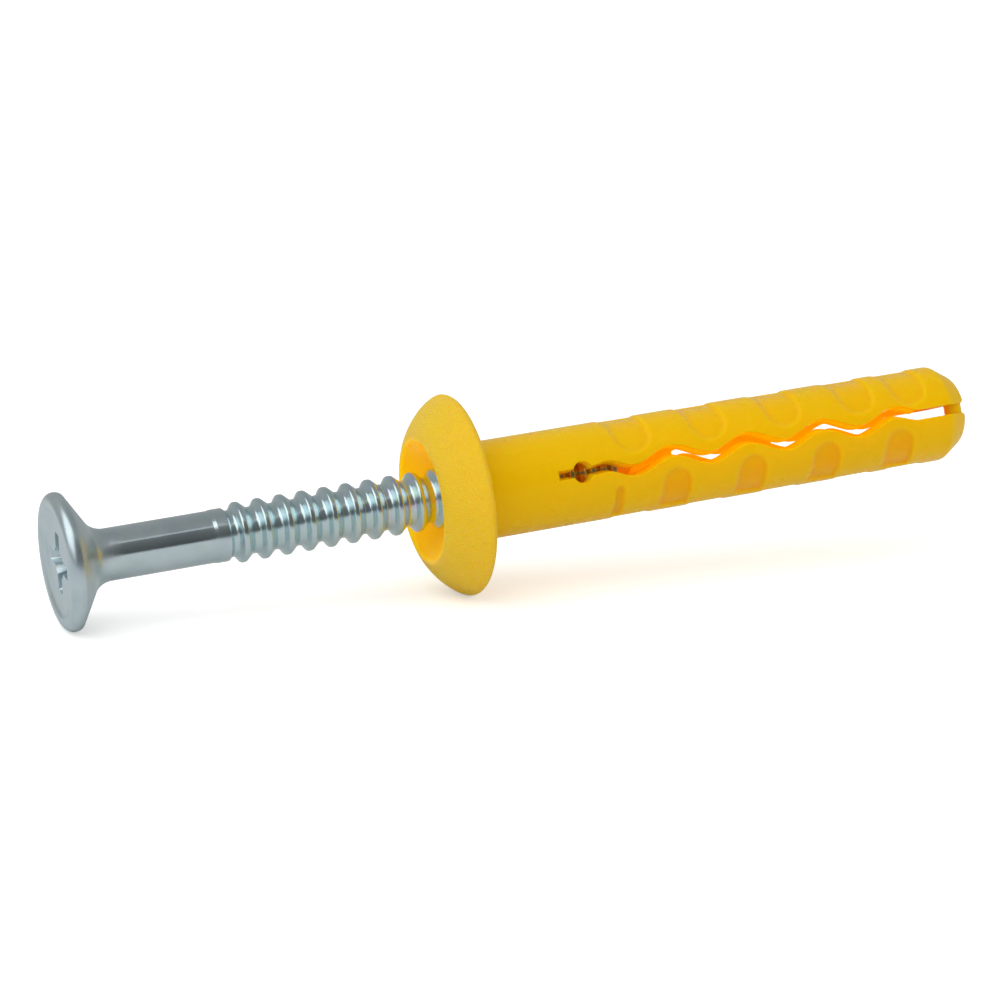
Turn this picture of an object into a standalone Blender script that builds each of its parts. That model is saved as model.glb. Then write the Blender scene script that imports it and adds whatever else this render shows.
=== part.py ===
"""Nylon hammer fixing: a moulded nylon sleeve with a collar and a wavy slot, and the steel nail that is driven into it.

Both pieces are modelled along one axis. On that axis zero is the back of the collar, the face that bears on
what is fixed, and the sleeve's tip is on the positive side. Seen from the side that faces the camera, local X
is up, local Y points at the viewer and local Z runs to the tip. The whole fixing then lies on the ground as it
would come to rest, on the rims of the nail's head and of the collar.
"""

import math

import bmesh
import bpy
from mathutils import Matrix, Vector

MM = 0.001

# Round pieces are polygons with this many sides, and a flat of each faces the ground.
ROUND_STEPS = 48
HALF_STEP = math.pi / ROUND_STEPS
MERGE = 0.001 * MM

# Sleeve, the outside
SLEEVE_DIAMETER = 8.0 * MM
SLEEVE_LENGTH = 44.75 * MM
TIP_TAPER_LENGTH = 2.05 * MM
TIP_TAPER_ANGLE = math.radians(33)
TIP_ROUNDING = 1.3 * MM
TIP_POINTS = 5

# Sleeve, the collar
COLLAR_DIAMETER = 16.4 * MM
COLLAR_HEIGHT = 3.45 * MM
COLLAR_RIM_RADIUS = 0.55 * MM
COLLAR_DOME_POINTS = 7
# One gives an elliptical dome, and more gives a straighter, more conical one.
COLLAR_DOME_SHAPE = 1.45
MOUTH_DIAMETER = 9.6 * MM
MOUTH_LIP_RADIUS = 0.3 * MM
COUNTERSINK_DEPTH = 2.8 * MM

# Nail, shank and ridges
SHANK_DIAMETER = 4.15 * MM
SHANK_END_DIAMETER = 4.26 * MM
SHANK_END_LENGTH = 0.9 * MM
SHANK_END = -20.05 * MM
RIDGE_DIAMETER = 4.84 * MM
ROOT_DIAMETER = 3.74 * MM
RIDGE_PITCH = 1.844 * MM
FIRST_RIDGE = -18.92 * MM
RIDGE_CREST = 0.2 * MM
RIDGE_BACK = 0.36 * MM
RIDGE_FRONT = 0.78 * MM
NECK_SLOPE = 0.3 * MM
POINT_LENGTH = 1.6 * MM
POINT_DIAMETER = 0.5 * MM

# Nail, the head
HEAD_DIAMETER = 10.95 * MM
HEAD_RIM = -33.0 * MM
HEAD_RIM_RADIUS = 0.75 * MM
HEAD_RIM_POINTS = 9
HEAD_RIM_END_ANGLE = math.radians(-130)
HEAD_CONE_ANGLE = math.radians(58)
HEAD_FILLET_RADIUS = 1.8 * MM
HEAD_FILLET_POINTS = 6
# The face lies a little below the top of the rim.
HEAD_FACE_DEPTH = 0.35 * MM
HEAD_FACE_DIAMETER = 7.6 * MM

# Cross recess in the head
RECESS_SPAN = 5.2 * MM
RECESS_DEPTH = 2.6 * MM
RECESS_WING = 1.15 * MM
RECESS_FLOOR_SHARE = 0.45
RECESS_CORE_DIAMETER = 2.9 * MM
RECESS_TURN = math.radians(4)

# Fits between nail and sleeve
BORE_CLEARANCE = 0.1 * MM
HEAD_SEAT_CLEARANCE = 0.15 * MM
POINT_CLEARANCE = 0.4 * MM
# The sleeve is closed by at least this much beyond the bore.
TIP_WALL = 0.6 * MM

# Slot, on both sides of the sleeve, each side the other's half turn about the axis
SLOT_WIDTH = 0.97 * MM
SLIT_WIDTH = 0.8 * MM
SLIT_START = 7.05 * MM
RELIEF_HOLE_DIAMETER = 1.75 * MM
RELIEF_HOLE_AT = 9.15 * MM
WAVE_HEIGHT = 0.53 * MM
WAVE_CREST_AT = 17.15 * MM
WAVE_CRESTS = 4
WAVE_END_FROM_TIP = 5.5 * MM
# The last wave is a quarter pitch from its crest to its end.
WAVE_PITCH = (SLEEVE_LENGTH - WAVE_END_FROM_TIP - WAVE_CREST_AT) / (WAVE_CRESTS - 1 + 0.25)
WAVE_RAMP = 3.0 * MM
WAVE_STEPS_PER_PITCH = 11
SLOT_TURN = math.radians(16)

# Where the two sides' cuts meet, each reaches past the parting plane by this much.
PARTING_OVERLAP = 0.02 * MM
# A wavy slot ends this share as wide as the straight one that it runs into.
END_INSIDE_SHARE = 0.9

# Web across the far slot that joins the two legs, its face below the sleeve's surface
WEB_AT = WAVE_CREST_AT + 1.463 * WAVE_PITCH
WEB_LENGTH = 3.4 * MM
WEB_FACE_FROM_AXIS = 3.5 * MM
WEB_BACK_FROM_AXIS = 0.5 * MM

# Bridge that joins the two legs at the tip
BRIDGE_DIAMETER = 1.45 * MM
BRIDGE_FROM_TIP = 1.2 * MM
BRIDGE_FROM_AXIS = 2.45 * MM

# Pockets, shallow arches over the lobes beside the slot
POCKET_DEPTH = 0.22 * MM
LONG_POCKET_WIDTH = 0.544 * WAVE_PITCH
SHORT_POCKET_WIDTH = 0.456 * WAVE_PITCH
POCKET_FROM_AXIS = 0.75 * MM
LONG_POCKET_SHIFT = 0.2 * MM
SHORT_POCKET_SHIFT = 0.1 * MM
POCKET_ARC_POINTS = 7
FIRST_POCKET_WIDTH = 1.25 * MM
FIRST_POCKET_AT = 12.2 * MM
FIRST_POCKET_FROM_AXIS = 1.5 * MM
LAST_POCKET_AT = SLEEVE_LENGTH - WAVE_END_FROM_TIP - 0.05 * MM
# Long pockets run over the parting line, and short ones stop before it.
LONG_POCKET_PAST = 0.8 * MM
SHORT_POCKET_SHORT = 1.0 * MM

# Colours, linear values
NYLON_COLOUR = (0.87, 0.50, 0.004, 1.0)
ZINC_COLOUR = (0.55, 0.62, 0.66, 1.0)


def clear_scene():
    for old in list(bpy.data.objects):
        bpy.data.objects.remove(old, do_unlink=True)


def new_collection(name):
    made = bpy.data.collections.new(name)
    bpy.context.scene.collection.children.link(made)
    return made


def new_material(name, colour, roughness, metallic):
    made = bpy.data.materials.new(name)
    made.use_nodes = True
    shader = made.node_tree.nodes["Principled BSDF"]
    shader.inputs["Base Color"].default_value = colour
    shader.inputs["Roughness"].default_value = roughness
    shader.inputs["Metallic"].default_value = metallic
    return made


def arc(centre_radius, centre_at, radius, start, end, count):
    """Points of an arc in the profile plane, angles from the outward direction towards the tip."""
    points = []
    for i in range(count):
        angle = start + (end - start) * i / (count - 1)
        points.append((centre_radius + radius * math.cos(angle), centre_at + radius * math.sin(angle)))
    return points


def turned(name, profile, parent, collection):
    """A turned piece: its half outline, from the tip down its outer side, swept round local Z."""
    mesh = bpy.data.meshes.new(name)
    points = [(radius, 0.0, at) for radius, at in profile]
    edges = [(i, i + 1) for i in range(len(points) - 1)]
    mesh.from_pydata(points, edges, [])
    piece = bpy.data.objects.new(name, mesh)
    collection.objects.link(piece)
    piece.parent = parent
    screw = piece.modifiers.new("Turn", "SCREW")
    screw.axis = "Z"
    screw.steps = ROUND_STEPS
    screw.render_steps = ROUND_STEPS
    screw.use_merge_vertices = True
    screw.merge_threshold = MERGE
    screw.use_smooth_shade = True
    return piece


def keep_as_cutter(piece):
    piece.hide_render = True
    piece.display_type = "WIRE"


def cut(piece, cutter):
    boolean = piece.modifiers.new(cutter.name, "BOOLEAN")
    boolean.object = cutter
    boolean.operation = "DIFFERENCE"
    boolean.solver = "EXACT"


def prism(name, outlines, near, far, parent, collection):
    """Closed flat outlines of (height, along the axis) points, made solid between two distances from the axis."""
    curve = bpy.data.curves.new(name + "_outline", "CURVE")
    curve.dimensions = "2D"
    curve.fill_mode = "BOTH"
    curve.extrude = (far - near) / 2
    for outline in outlines:
        spline = curve.splines.new("POLY")
        spline.points.add(len(outline) - 1)
        for point, (height, at) in zip(spline.points, outline):
            point.co = (height, at, 0.0, 1.0)
        spline.use_cyclic_u = True
    drawn = bpy.data.objects.new(name + "_outline", curve)
    collection.objects.link(drawn)
    bpy.context.view_layer.update()
    graph = bpy.context.evaluated_depsgraph_get()
    mesh = bpy.data.meshes.new_from_object(drawn.evaluated_get(graph))
    bpy.data.objects.remove(drawn)
    bpy.data.curves.remove(curve)
    weld(mesh)
    # The curve's own plane is stood up: its X stays the height, its Y becomes the axis.
    mesh.transform(Matrix(((1, 0, 0, 0), (0, 0, -1, (near + far) / 2), (0, 1, 0, 0), (0, 0, 0, 1))))
    mesh.name = name
    solid = bpy.data.objects.new(name, mesh)
    collection.objects.link(solid)
    solid.parent = parent
    keep_as_cutter(solid)
    return solid


def weld(mesh):
    """Joins a converted curve's caps to its sides and turns every face outwards."""
    work = bmesh.new()
    work.from_mesh(mesh)
    bmesh.ops.remove_doubles(work, verts=work.verts, dist=MERGE)
    bmesh.ops.recalc_face_normals(work, faces=work.faces)
    work.to_mesh(mesh)
    work.free()


def cylinder(name, diameter, length, centre, direction, parent, collection):
    bpy.ops.mesh.primitive_cylinder_add(vertices=ROUND_STEPS // 2, radius=diameter / 2, depth=length)
    solid = bpy.context.object
    solid.name = name
    for held in list(solid.users_collection):
        held.objects.unlink(solid)
    collection.objects.link(solid)
    solid.parent = parent
    solid.location = centre
    solid.rotation_euler = Vector(direction).to_track_quat("Z", "Y").to_euler()
    keep_as_cutter(solid)
    return solid


def head_profile():
    """From the shank up the concave underside, round the rim and down to the middle of the face."""
    shank_radius = SHANK_DIAMETER / 2
    rim_centre = HEAD_DIAMETER / 2 - HEAD_RIM_RADIUS
    lean = HEAD_CONE_ANGLE
    # The cone leaves the rim's rounding where its slope is the cone's, and meets the fillet likewise.
    leave_angle = math.pi / 2 - lean
    leave = arc(rim_centre, HEAD_RIM, HEAD_RIM_RADIUS, leave_angle, 0, 2)[0]
    fillet_top_radius = shank_radius + HEAD_FILLET_RADIUS * (1 - math.cos(lean))
    cone_length = (leave[0] - fillet_top_radius) / math.tan(lean)
    fillet_top_at = leave[1] + cone_length
    fillet_centre_at = fillet_top_at + HEAD_FILLET_RADIUS * math.sin(lean)
    fillet = arc(shank_radius + HEAD_FILLET_RADIUS, fillet_centre_at, HEAD_FILLET_RADIUS,
                 math.pi, math.pi + lean, HEAD_FILLET_POINTS)
    rim = arc(rim_centre, HEAD_RIM, HEAD_RIM_RADIUS, leave_angle, HEAD_RIM_END_ANGLE, HEAD_RIM_POINTS)
    return fillet + rim + [(HEAD_FACE_DIAMETER / 2, head_face()), (0.0, head_face())]


def head_face():
    return HEAD_RIM - HEAD_RIM_RADIUS + HEAD_FACE_DEPTH


def ridge_count():
    """As many ridges as let the driven nail's point stop short of the sleeve's tip."""
    longest = SLEEVE_LENGTH - TIP_WALL - POINT_CLEARANCE - drive_travel()
    last_ridge = longest - POINT_LENGTH - RIDGE_FRONT - RIDGE_CREST / 2
    return 1 + math.floor((last_ridge - FIRST_RIDGE) / RIDGE_PITCH)


def nail_profile():
    """The nail from its point back to the middle of its head."""
    root = ROOT_DIAMETER / 2
    crest = RIDGE_DIAMETER / 2
    last_ridge = FIRST_RIDGE + (ridge_count() - 1) * RIDGE_PITCH
    point_start = last_ridge + RIDGE_CREST / 2 + RIDGE_FRONT
    profile = [(0.0, point_start + POINT_LENGTH), (POINT_DIAMETER / 2, point_start + POINT_LENGTH)]
    for i in reversed(range(ridge_count())):
        at = FIRST_RIDGE + i * RIDGE_PITCH
        profile.append((root, at + RIDGE_CREST / 2 + RIDGE_FRONT))
        profile.append((crest, at + RIDGE_CREST / 2))
        profile.append((crest, at - RIDGE_CREST / 2))
        profile.append((root, at - RIDGE_CREST / 2 - RIDGE_BACK))
    profile.append((root, SHANK_END + NECK_SLOPE))
    profile.append((SHANK_END_DIAMETER / 2, SHANK_END))
    profile.append((SHANK_END_DIAMETER / 2, SHANK_END - SHANK_END_LENGTH))
    profile.append((SHANK_DIAMETER / 2, SHANK_END - SHANK_END_LENGTH - NECK_SLOPE))
    return profile + head_profile()


def head_place_of_radius(radius):
    """Where along the axis the head's underside has this radius."""
    underside = head_profile()
    for (inner, inner_at), (outer, outer_at) in zip(underside, underside[1:]):
        if inner <= radius <= outer:
            return inner_at + (outer_at - inner_at) * (radius - inner) / (outer - inner)
    return HEAD_RIM


def drive_travel():
    """How far the nail goes in before its head meets the mouth of the countersink."""
    mouth_at = -COLLAR_HEIGHT
    return mouth_at - head_place_of_radius(MOUTH_DIAMETER / 2) - HEAD_SEAT_CLEARANCE


def collar_profile():
    """The collar from its back face out round the rim, over the dome and into the mouth."""
    rim_centre = COLLAR_DIAMETER / 2 - COLLAR_RIM_RADIUS
    rim = arc(rim_centre, -COLLAR_RIM_RADIUS, COLLAR_RIM_RADIUS, math.pi / 2, 0, 5)
    lip = MOUTH_DIAMETER / 2 + MOUTH_LIP_RADIUS
    reach = COLLAR_DIAMETER / 2 - lip
    rise = COLLAR_HEIGHT - COLLAR_RIM_RADIUS
    dome = []
    for i in range(1, COLLAR_DOME_POINTS + 1):
        angle = math.pi / 2 * i / COLLAR_DOME_POINTS
        across = math.cos(angle) ** COLLAR_DOME_SHAPE
        along = math.sin(angle) ** COLLAR_DOME_SHAPE
        dome.append((lip + reach * across, -COLLAR_RIM_RADIUS - rise * along))
    mouth = (MOUTH_DIAMETER / 2, -COLLAR_HEIGHT + MOUTH_LIP_RADIUS)
    return rim + dome + [mouth]


def sleeve_profile():
    """The sleeve from the middle of its tip down the outside, round the collar and up the bore."""
    outer = SLEEVE_DIAMETER / 2
    arc_end_at = SLEEVE_LENGTH - TIP_ROUNDING * (1 - math.sin(TIP_TAPER_ANGLE))
    taper_start = SLEEVE_LENGTH - TIP_TAPER_LENGTH
    arc_end = outer - (arc_end_at - taper_start) * math.tan(TIP_TAPER_ANGLE)
    arc_centre = arc_end - TIP_ROUNDING * math.cos(TIP_TAPER_ANGLE)
    profile = [(0.0, SLEEVE_LENGTH)]
    profile += arc(arc_centre, SLEEVE_LENGTH - TIP_ROUNDING, TIP_ROUNDING, math.pi / 2, TIP_TAPER_ANGLE, TIP_POINTS)
    profile += [(outer, taper_start), (outer, 0.0)]
    profile += collar_profile()
    bore = RIDGE_DIAMETER / 2 + BORE_CLEARANCE
    nail_point = nail_profile()[0][1]
    bore_end = nail_point + drive_travel() + POINT_CLEARANCE
    profile.append((bore, -COLLAR_HEIGHT + COUNTERSINK_DEPTH))
    profile.append((bore, bore_end - POINT_LENGTH))
    profile.append((POINT_DIAMETER / 2 + BORE_CLEARANCE, bore_end))
    profile.append((0.0, bore_end))
    return profile


def wave(at):
    """Height of the slot's middle line at a place along the axis."""
    first = RELIEF_HOLE_AT + RELIEF_HOLE_DIAMETER / 2
    if at <= first or at >= wave_end():
        return 0.0
    share = min(1.0, (at - first) / WAVE_RAMP)
    grown = share * share * (3 - 2 * share)
    return WAVE_HEIGHT * grown * math.cos(2 * math.pi * (at - WAVE_CREST_AT) / WAVE_PITCH)


def wave_end():
    """Where the last wave has come back to the middle."""
    return WAVE_CREST_AT + (WAVE_CRESTS - 1) * WAVE_PITCH + WAVE_PITCH / 4


def tip_slot_outline():
    """The straight end of the slot, which goes right through the sleeve and out of its tip."""
    half = SLIT_WIDTH / 2
    start = wave_end() + SLOT_WIDTH / 4
    end = SLEEVE_LENGTH + SLOT_WIDTH
    return [(half, start), (half, end), (-half, end), (-half, start)]


def web_outline():
    """The stretch of the far slot that the web fills, taller than the slot's waves."""
    height = SLEEVE_DIAMETER / 2
    start = WEB_AT - WEB_LENGTH / 2
    end = WEB_AT + WEB_LENGTH / 2
    return [(height, start), (height, end), (-height, end), (-height, start)]


def slot_outline():
    """One side's slot, from the narrow slit through the waves and into its straight end."""
    wave_start = RELIEF_HOLE_AT
    length = wave_end() - wave_start
    steps = round(length / WAVE_PITCH * WAVE_STEPS_PER_PITCH)
    places = [(SLIT_START, SLIT_WIDTH), (wave_start, SLIT_WIDTH)]
    for i in range(1, steps + 1):
        at = wave_start + length * i / steps
        share = min(1.0, (at - wave_start) / WAVE_RAMP)
        places.append((at, SLIT_WIDTH + (SLOT_WIDTH - SLIT_WIDTH) * share))
    places.append((wave_end() + SLOT_WIDTH, SLIT_WIDTH * END_INSIDE_SHARE))
    upper = [(wave(at) + width / 2, at) for at, width in places]
    lower = [(wave(at) - width / 2, at) for at, width in reversed(places)]
    return upper + lower


def pocket_outline(at, width, from_axis, side):
    """An arch with its round end beside the slot and its straight sides running out past the parting line."""
    half = width / 2
    outside = SLEEVE_DIAMETER
    points = [(side * outside, at - half)]
    for i in range(POCKET_ARC_POINTS + 1):
        angle = math.pi * i / POCKET_ARC_POINTS
        points.append((side * (from_axis + half * (1 - math.sin(angle))), at - half * math.cos(angle)))
    points.append((side * outside, at + half))
    return points


def long_pockets():
    """The upper leg's pockets, over the slot's low places, and a last one over its straight end."""
    places = [WAVE_CREST_AT + (i - 0.5) * WAVE_PITCH + LONG_POCKET_SHIFT for i in range(WAVE_CRESTS)]
    return [pocket_outline(at, LONG_POCKET_WIDTH, POCKET_FROM_AXIS, 1) for at in places + [LAST_POCKET_AT]]


def short_pockets():
    """The lower leg's pockets, a narrow first one and then one over each of the slot's high places."""
    first = pocket_outline(FIRST_POCKET_AT, FIRST_POCKET_WIDTH, FIRST_POCKET_FROM_AXIS, -1)
    places = [WAVE_CREST_AT + i * WAVE_PITCH + SHORT_POCKET_SHIFT for i in range(WAVE_CRESTS)]
    return [first] + [pocket_outline(at, SHORT_POCKET_WIDTH, POCKET_FROM_AXIS, -1) for at in places]


def resting_line(nail, sleeve):
    """Slope of the ground against the axis, touching the head's rim and the collar's rim."""
    both = nail + sleeve
    for head_radius, head_at in nail:
        for collar_radius, collar_at in sleeve:
            if head_at >= SHANK_END or collar_at > 0 or collar_radius <= head_radius:
                continue
            slope = (collar_radius - head_radius) / (collar_at - head_at)
            if all(radius <= head_radius + slope * (at - head_at) + MERGE for radius, at in both):
                return math.atan(slope * math.cos(HALF_STEP))
    return 0.0


def place_on_ground(axis, nail, sleeve):
    """Tilts the axis to its rest, and puts the origin under the middle of the fixing on the ground."""
    tilt = resting_line(nail, sleeve)
    flat = math.cos(HALF_STEP)
    both = [(radius * flat, at) for radius, at in nail + sleeve]
    highest = max(at * math.cos(tilt) + radius * math.sin(tilt) for radius, at in both)
    lowest = min(at * math.cos(tilt) - radius * math.sin(tilt) for radius, at in both)
    lift = max(radius * math.cos(tilt) - at * math.sin(tilt) for radius, at in both)
    along = Vector((math.cos(tilt), 0.0, math.sin(tilt)))
    up = Vector((-math.sin(tilt), 0.0, math.cos(tilt)))
    viewer = along.cross(up)
    turn = Matrix((up, viewer, along)).transposed().to_4x4()
    axis.matrix_world = (
        Matrix.Translation((-(highest + lowest) / 2, 0.0, lift)) @ turn @ Matrix.Rotation(HALF_STEP, 4, "Z")
    )


def build_nail(axis, parts, cutters):
    nail = turned("nail", nail_profile(), axis, parts)
    nail.data.materials.append(new_material("zinc_plated_steel", ZINC_COLOUR, 0.22, 1.0))
    recess_floor = head_face() + RECESS_DEPTH
    depth = RECESS_DEPTH + MM
    for name, turn in (("recess_wing_a", 0.0), ("recess_wing_b", math.pi / 2)):
        wing = recess_wing(name, depth, axis, cutters)
        wing.location = (0.0, 0.0, recess_floor)
        wing.rotation_euler = (0.0, 0.0, RECESS_TURN + turn)
        cut(nail, wing)
    core = recess_core("recess_core", depth, axis, cutters)
    core.location = (0.0, 0.0, recess_floor)
    cut(nail, core)
    return nail


def recess_wing(name, depth, parent, collection):
    """A tapered blade, narrow at its floor and wide where it leaves the head, standing on its floor at zero."""
    bpy.ops.mesh.primitive_cube_add(size=1.0)
    wing = bpy.context.object
    wing.name = name
    for held in list(wing.users_collection):
        held.objects.unlink(wing)
    collection.objects.link(wing)
    for vertex in wing.data.vertices:
        at_floor = vertex.co.z > 0
        share = RECESS_FLOOR_SHARE if at_floor else 1.0 + (depth - RECESS_DEPTH) / depth * (1 - RECESS_FLOOR_SHARE)
        vertex.co.x *= RECESS_SPAN * share
        vertex.co.y *= RECESS_WING * (1 + share) / 2
        vertex.co.z = 0.0 if at_floor else -depth
    wing.parent = parent
    keep_as_cutter(wing)
    return wing


def recess_core(name, depth, parent, collection):
    """The round middle of the cross recess, a cone that narrows to the floor."""
    bpy.ops.mesh.primitive_cone_add(vertices=16, radius1=RECESS_CORE_DIAMETER / 2,
                                    radius2=RECESS_CORE_DIAMETER / 2 * RECESS_FLOOR_SHARE, depth=depth)
    core = bpy.context.object
    core.name = name
    for held in list(core.users_collection):
        held.objects.unlink(core)
    collection.objects.link(core)
    core.data.transform(Matrix.Translation((0.0, 0.0, -depth / 2 + 0.1 * MM)))
    core.parent = parent
    keep_as_cutter(core)
    return core


def build_sleeve(axis, parts, cutters):
    sleeve = turned("sleeve", sleeve_profile(), axis, parts)
    sleeve.data.materials.append(new_material("yellow_nylon", NYLON_COLOUR, 0.38, 0.0))
    for side, turn in (("near", 0.0), ("far", math.pi)):
        guide = bpy.data.objects.new(side + "_guide", None)
        cutters.objects.link(guide)
        guide.parent = axis
        guide.rotation_euler = (0.0, 0.0, turn - SLOT_TURN - HALF_STEP)
        start = -PARTING_OVERLAP
        slot = prism(side + "_slot", [slot_outline()], start, SLEEVE_DIAMETER, guide, cutters)
        core = cylinder(side + "_pocket_floor", SLEEVE_DIAMETER - 2 * POCKET_DEPTH, 3 * SLEEVE_LENGTH,
                        (0.0, 0.0, 0.0), (0.0, 0.0, 1.0), guide, cutters)
        for kind, outlines, first in (("long", long_pockets(), -LONG_POCKET_PAST),
                                      ("short", short_pockets(), SHORT_POCKET_SHORT)):
            pockets = prism(f"{side}_{kind}_pockets", outlines, first, SLEEVE_DIAMETER, guide, cutters)
            cut(pockets, core)
            cut(sleeve, pockets)
        if side == "far":
            cut(slot, prism("web", [web_outline()], WEB_BACK_FROM_AXIS, WEB_FACE_FROM_AXIS, guide, cutters))
        cut(sleeve, slot)
        hole = cylinder(side + "_relief_hole", RELIEF_HOLE_DIAMETER, SLEEVE_DIAMETER / 2,
                        (0.0, SLEEVE_DIAMETER / 2, RELIEF_HOLE_AT), (0.0, 1.0, 0.0), guide, cutters)
        cut(sleeve, hole)
        if side == "near":
            tip_slot = prism("tip_slot", [tip_slot_outline()], -SLEEVE_DIAMETER, SLEEVE_DIAMETER, guide, cutters)
            bridge_place = (0.0, BRIDGE_FROM_AXIS, SLEEVE_LENGTH - BRIDGE_FROM_TIP)
            bridge = cylinder("bridge", BRIDGE_DIAMETER, SLEEVE_DIAMETER, bridge_place, (1.0, 0.0, 0.0),
                              guide, cutters)
            cut(tip_slot, bridge)
            cut(sleeve, tip_slot)
    return sleeve


def main():
    clear_scene()
    parts = new_collection("nylon_hammer_fixing")
    cutters = new_collection("cutters")
    axis = bpy.data.objects.new("fixing_axis", None)
    parts.objects.link(axis)
    build_nail(axis, parts, cutters)
    build_sleeve(axis, parts, cutters)
    place_on_ground(axis, nail_profile(), sleeve_profile())


main()
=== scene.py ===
"""Looks of the nylon hammer fixing: fine meshes, materials, floor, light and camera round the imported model.

Both pieces are drawn along one axis. On that axis zero is the back of the collar, the face that bears on
what is fixed, and the sleeve's tip is on the positive side. Local X is up, local Y faces the viewer and local
Z runs to the tip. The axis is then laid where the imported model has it.
"""

import math

import bmesh
import bpy
from mathutils import Matrix, Vector


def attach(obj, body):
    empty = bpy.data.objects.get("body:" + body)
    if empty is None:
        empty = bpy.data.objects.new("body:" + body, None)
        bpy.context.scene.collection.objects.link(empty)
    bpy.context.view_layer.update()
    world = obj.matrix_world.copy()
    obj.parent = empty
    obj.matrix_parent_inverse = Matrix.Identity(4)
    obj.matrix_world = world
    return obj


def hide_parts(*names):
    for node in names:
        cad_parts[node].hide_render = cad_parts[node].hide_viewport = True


MM = 0.001
MERGE = 0.001 * MM

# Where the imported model's axis starts, and how far it leans
AXIS_START = (-5.36552 * MM, 0.0, 8.19980 * MM)
AXIS_TILT = math.radians(4.7881)
# Each piece keeps the places on its own axis under this name, for its material.
OWN_PLACE = "own_place"

# Round pieces are drawn with this many sides.
SLEEVE_SIDES = 216
NAIL_SIDES = 144
CUTTER_SIDES = 96
ARC_STEP = math.radians(9)
SLEEVE_SHARP = math.radians(32)
NAIL_SHARP = math.radians(40)
# The part of the sleeve that has pockets is drawn as a fine grid.
GRID_START = 10.5 * MM
GRID_STEP = 0.1 * MM

# Sleeve, the outside
SLEEVE_DIAMETER = 8.0 * MM
SLEEVE_LENGTH = 44.75 * MM
TIP_TAPER_LENGTH = 2.05 * MM
TIP_TAPER_ANGLE = math.radians(33)
TIP_ROUNDING = 1.3 * MM
SHOULDER_ROUNDING = 0.7 * MM
ROOT_FILLET = 0.18 * MM

# Sleeve, the collar
COLLAR_DIAMETER = 16.4 * MM
COLLAR_HEIGHT = 3.45 * MM
COLLAR_RIM_RADIUS = 0.55 * MM
COLLAR_DOME_POINTS = 28
COLLAR_DOME_SHAPE = 1.45
MOUTH_DIAMETER = 9.6 * MM
MOUTH_LIP_RADIUS = 0.3 * MM
COUNTERSINK_DEPTH = 2.8 * MM
BORE_DIAMETER = 5.04 * MM
BORE_END = 43.96 * MM
BORE_POINT_LENGTH = 1.6 * MM
BORE_POINT_DIAMETER = 0.7 * MM

# Nail, shank and ridges
SHANK_DIAMETER = 4.15 * MM
SHANK_END_DIAMETER = 4.26 * MM
SHANK_END_LENGTH = 0.9 * MM
SHANK_END = -20.05 * MM
SHANK_END_ROUNDING = 0.12 * MM
RIDGE_DIAMETER = 4.84 * MM
ROOT_DIAMETER = 3.74 * MM
RIDGE_PITCH = 1.844 * MM
RIDGE_COUNT = 18
FIRST_RIDGE = -18.92 * MM
RIDGE_CREST_BACK = 0.1 * MM
RIDGE_CREST_FRONT = 0.24 * MM
RIDGE_BACK = 0.46 * MM
RIDGE_FRONT = 0.88 * MM
RIDGE_CREST_ROUNDING = 0.2 * MM
RIDGE_ROOT_ROUNDING = 0.3 * MM
NECK_SLOPE = 0.3 * MM
POINT_LENGTH = 1.6 * MM
POINT_DIAMETER = 0.5 * MM
POINT_ROUNDING = 0.5 * MM

# Nail, the head
HEAD_DIAMETER = 10.95 * MM
HEAD_RIM = -33.0 * MM
HEAD_RIM_RADIUS = 0.75 * MM
HEAD_RIM_POINTS = 28
HEAD_RIM_END_ANGLE = math.radians(-130)
HEAD_CONE_ANGLE = math.radians(58)
HEAD_FILLET_RADIUS = 1.8 * MM
HEAD_FILLET_POINTS = 18
HEAD_FACE = -33.4 * MM
HEAD_FACE_DIAMETER = 7.6 * MM
HEAD_FACE_ROUNDING = 1.2 * MM

# Cross recess in the head
RECESS_SPAN = 5.2 * MM
RECESS_DEPTH = 2.6 * MM
RECESS_WING = 1.15 * MM
RECESS_FLOOR_SHARE = 0.45
RECESS_CORE_DIAMETER = 2.9 * MM
RECESS_TURN = math.radians(7.75)
RECESS_EDGE = 0.16 * MM
RECESS_CORE_DEEPER = 0.1 * MM
RECESS_SIDES = 64

# Slot, on both sides of the sleeve, each side the other's half turn about the axis
SLOT_WIDTH = 0.97 * MM
SLIT_WIDTH = 0.8 * MM
SLIT_START = 7.05 * MM
RELIEF_HOLE_DIAMETER = 1.75 * MM
RELIEF_HOLE_AT = 9.15 * MM
WAVE_PITCH = 6.8 * MM
WAVE_HEIGHT = 0.53 * MM
WAVE_CREST_AT = 17.15 * MM
WAVE_CRESTS = 4
WAVE_RAMP = 3.0 * MM
WAVE_STEPS_PER_PITCH = 32
SLOT_TURN = math.radians(16)
SIDE_TURNS = (-SLOT_TURN, math.pi - SLOT_TURN)
END_INSIDE_SHARE = 0.9

# The slot's walls close in from the surface to the bore by this much in all.
SLOT_TAPER = 0.5 * MM
SLOT_CUT_FROM = 1.9 * MM
SLOT_CUT_TO = 4.5 * MM
# At the tip the legs' edges round away from the slot.
TIP_EDGE = 0.85 * MM
TIP_EDGE_POINTS = 8

# Web across the far slot
WEB_AT = 27.1 * MM
WEB_LENGTH = 3.4 * MM
WEB_FACE_FROM_AXIS = 3.5 * MM
WEB_BACK_FROM_AXIS = 0.5 * MM
# A thin skin closes the far slot behind the first wave, where the photo shows no daylight.
SKIN_AT = 17.4 * MM
SKIN_LENGTH = 4.6 * MM
SKIN_FACE_FROM_AXIS = 3.0 * MM
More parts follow.
